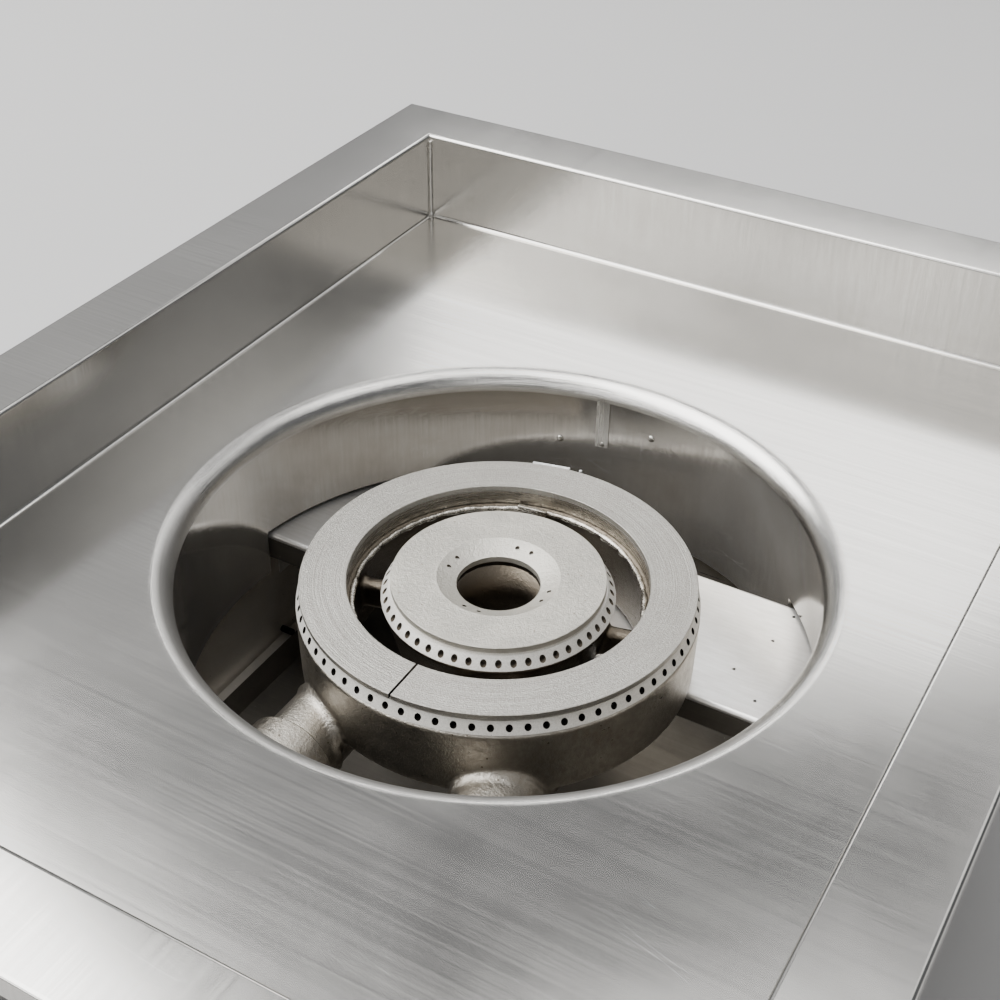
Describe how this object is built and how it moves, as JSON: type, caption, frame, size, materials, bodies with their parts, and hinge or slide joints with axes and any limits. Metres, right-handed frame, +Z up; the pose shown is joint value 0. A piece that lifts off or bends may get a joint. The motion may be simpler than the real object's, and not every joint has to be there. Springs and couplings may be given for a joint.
{
  "type": "built in side burner",
  "caption": "Drop-in gas side burner: flanged steel well with a rolled opening over a cast ring burner on a channel, with knobs, igniter and sliding drip tray.",
  "frame": {"origin": "on the burner's vertical axis, at the underside of the base pan", "axes": "+X to the right as seen from the control panel, +Y to the back, +Z up"},
  "size_m": [0.5984, 0.7624, 0.272],
  "materials": {
    "brushed_stainless": "brushed stainless sheet, satin, with fine scratches",
    "stainless_sheet": "plain stainless sheet, dull",
    "cast_metal": "sand-cast, mottled and grainy",
    "machined_cast": "turned face with fine circular marks",
    "brass": "machined brass",
    "plated_steel": "zinc-plated, slightly dull",
    "black_plastic": "moulded, fine texture",
    "glazed_ceramic": "glazed white insulator"
  },
  "bodies": {
    "housing": {"top_tray": "brushed_stainless", "control_panel": "brushed_stainless", "outer_bezel": "brushed_stainless", "inner_bezel": "brushed_stainless", "burner_collar": "stainless_sheet", "left_side_panel": "stainless_sheet", "right_side_panel": "stainless_sheet", "rear_panel": "stainless_sheet", "base_pan": "stainless_sheet", "left_tray_runner": "stainless_sheet", "right_tray_runner": "stainless_sheet", "burner_channel": "stainless_sheet", "burner_casting": "cast_metal", "outer_mixer_tube": "cast_metal", "inner_mixer_tube": "cast_metal", "outer_ring_cap": "machined_cast", "inner_burner_cap": "machined_cast", "outer_gas_valve": "brass", "inner_gas_valve": "brass", "outer_orifice": "brass", "inner_orifice": "brass", "gas_inlet_fitting": "brass", "gas_manifold": "plated_steel", "left_pipe_saddle": "plated_steel", "right_pipe_saddle": "plated_steel", "igniter_nut": "plated_steel", "igniter_bracket": "plated_steel", "igniter_pin": "plated_steel", "left_stop_pin": "plated_steel", "right_stop_pin": "plated_steel", "left_channel_screw_front": "plated_steel", "left_channel_screw_rear": "plated_steel", "right_channel_screw_front": "plated_steel", "right_channel_screw_rear": "plated_steel", "left_panel_screw_lower": "plated_steel", "left_panel_screw_upper": "plated_steel", "left_rear_screw_lower": "plated_steel", "left_rear_screw_upper": "plated_steel", "right_panel_screw_lower": "plated_steel", "right_panel_screw_upper": "plated_steel", "right_rear_screw_lower": "plated_steel", "right_rear_screw_upper": "plated_steel", "left_casting_bolt": "plated_steel", "right_casting_bolt": "plated_steel", "igniter_housing": "black_plastic", "igniter_ceramic": "glazed_ceramic"},
    "drip_drawer": {"drip_tray": "stainless_sheet", "drip_tray_front": "brushed_stainless", "drip_tray_handle": "plated_steel"},
    "outer_push": {"outer_thrust_washer": "plated_steel"},
    "outer_turn": {"outer_valve_stem": "plated_steel", "outer_knob": "black_plastic"},
    "inner_push": {"inner_thrust_washer": "plated_steel"},
    "inner_turn": {"inner_valve_stem": "plated_steel", "inner_knob": "black_plastic"},
    "igniter_press": {"igniter_button": "black_plastic"},
    "outer_shutter": {"outer_air_shutter": "plated_steel"},
    "inner_shutter": {"inner_air_shutter": "plated_steel"}
  },
  "joints": [
    {"name": "drip_tray_slide", "type": "slide", "parent": "housing", "child": "drip_drawer", "axis": [0, -1, 0], "range_m": [0, 0.4]},
    {"name": "outer_knob_push", "type": "slide", "parent": "housing", "child": "outer_push", "axis": [0, 1, 0], "range_m": [0, 0.003], "stiffness_N_per_m": 1500, "springref_m": -0.003},
    {"name": "outer_knob_turn", "type": "hinge", "parent": "outer_push", "child": "outer_turn", "pos_m": [-0.057, -0.34, 0.122], "axis": [0, -1, 0], "range_deg": [0, 210]},
    {"name": "outer_shutter_turn", "type": "hinge", "parent": "housing", "child": "outer_shutter", "pos_m": [-0.057, -0.2392, 0.122], "axis": [0, 1, 0], "range_deg": [0, 60]},
    {"name": "inner_knob_push", "type": "slide", "parent": "housing", "child": "inner_push", "axis": [0, 1, 0], "range_m": [0, 0.003], "stiffness_N_per_m": 1500, "springref_m": -0.003},
    {"name": "inner_knob_turn", "type": "hinge", "parent": "inner_push", "child": "inner_turn", "pos_m": [0.057, -0.34, 0.122], "axis": [0, -1, 0], "range_deg": [0, 210]},
    {"name": "inner_shutter_turn", "type": "hinge", "parent": "housing", "child": "inner_shutter", "pos_m": [0.057, -0.2392, 0.122], "axis": [0, 1, 0], "range_deg": [0, 60]},
    {"name": "igniter_press_in", "type": "slide", "parent": "housing", "child": "igniter_press", "axis": [0, 1, 0], "range_m": [0, 0.004], "stiffness_N_per_m": 1200, "springref_m": -0.003}
  ]
}
